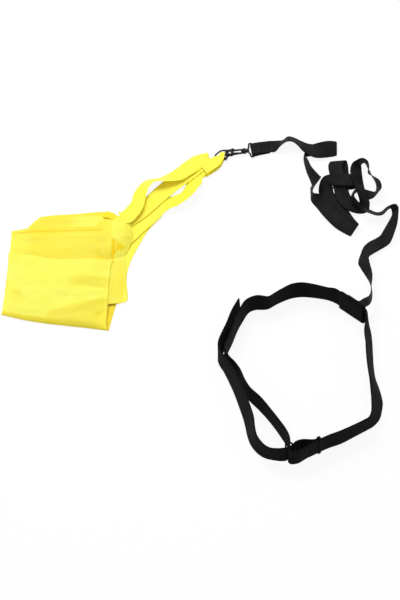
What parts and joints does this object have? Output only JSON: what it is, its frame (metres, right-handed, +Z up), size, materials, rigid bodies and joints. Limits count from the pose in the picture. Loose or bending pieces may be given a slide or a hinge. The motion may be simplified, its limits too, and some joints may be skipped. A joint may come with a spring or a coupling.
{
  "type": "swim parachute",
  "caption": "Folded swim parachute on a snap hook with swivel, a long webbing tether and a waist belt with a slider sleeve and ring.",
  "frame": {"origin": "centre of the bounding box's base without the free tether webbing, on the floor the parachute lies on", "axes": "+Z up from the floor, +Y from the waist belt towards the snap hook, +X from the canopy towards the belt"},
  "size_m": [0.6765, 0.7181, 0.046],
  "materials": {
    "yellow_nylon": "thin coated nylon, softly crumpled",
    "yellow_webbing": "flat woven tape",
    "black_webbing": "flat woven webbing with a fine rib",
    "belt_webbing": "soft close weave",
    "hook_plastic": "glossy moulded",
    "steel": "bright wire and pin"
  },
  "bodies": {
    "belt": {"belt_band": "belt_webbing", "belt_keeper": "black_webbing", "tether_webbing": "black_webbing", "tether_hook_loop": "black_webbing"},
    "sleeve": {"slider_sleeve": "black_webbing", "tether_belt_end": "black_webbing"},
    "ring": {"belt_ring": "hook_plastic"},
    "eye": {"swivel_eye": "hook_plastic"},
    "hook": {"hook_body": "hook_plastic", "gate_pin": "steel", "gate_spring": "steel"},
    "gate": {"hook_gate": "hook_plastic"},
    "parachute": {"canopy": "yellow_nylon", "canopy_strap_1": "yellow_webbing", "canopy_strap_2": "yellow_webbing", "canopy_strap_3": "yellow_webbing", "canopy_strap_4": "yellow_webbing", "end_loop": "yellow_webbing"}
  },
  "joints": [
    {"name": "sleeve_slide", "type": "slide", "parent": "belt", "child": "sleeve", "axis": [0.7581, -0.6521, 0], "range_m": [-0.004, 0.004], "deforming": ["tether_webbing"]},
    {"name": "ring_pivot", "type": "hinge", "parent": "belt", "child": "ring", "pos_m": [0.1732, -0.3403, 0.023], "axis": [0, 0, 1], "range_deg": [-6, 6]},
    {"name": "eye_pivot", "type": "hinge", "parent": "belt", "child": "eye", "pos_m": [0.10486, 0.33546, 0.0052], "axis": [-0.1564, 0.9877, 0], "range_deg": [-40, 40]},
    {"name": "hook_swivel", "type": "hinge", "parent": "eye", "child": "hook", "pos_m": [0.0934, 0.33365, 0.0052], "axis": [0.9877, 0.1564, 0], "continuous": true},
    {"name": "gate_hinge", "type": "hinge", "parent": "hook", "child": "gate", "pos_m": [0.06516, 0.32654, 0.0052], "axis": [0, 0, 1], "range_deg": [-10, 0], "stiffness_Nm_per_rad": 0.02, "springref_deg": 9.74},
    {"name": "parachute_swing", "type": "hinge", "parent": "hook", "child": "parachute", "pos_m": [0.05231, 0.32906, 0.0052], "axis": [0, 0, 1], "range_deg": [-8, 8]}
  ]
}
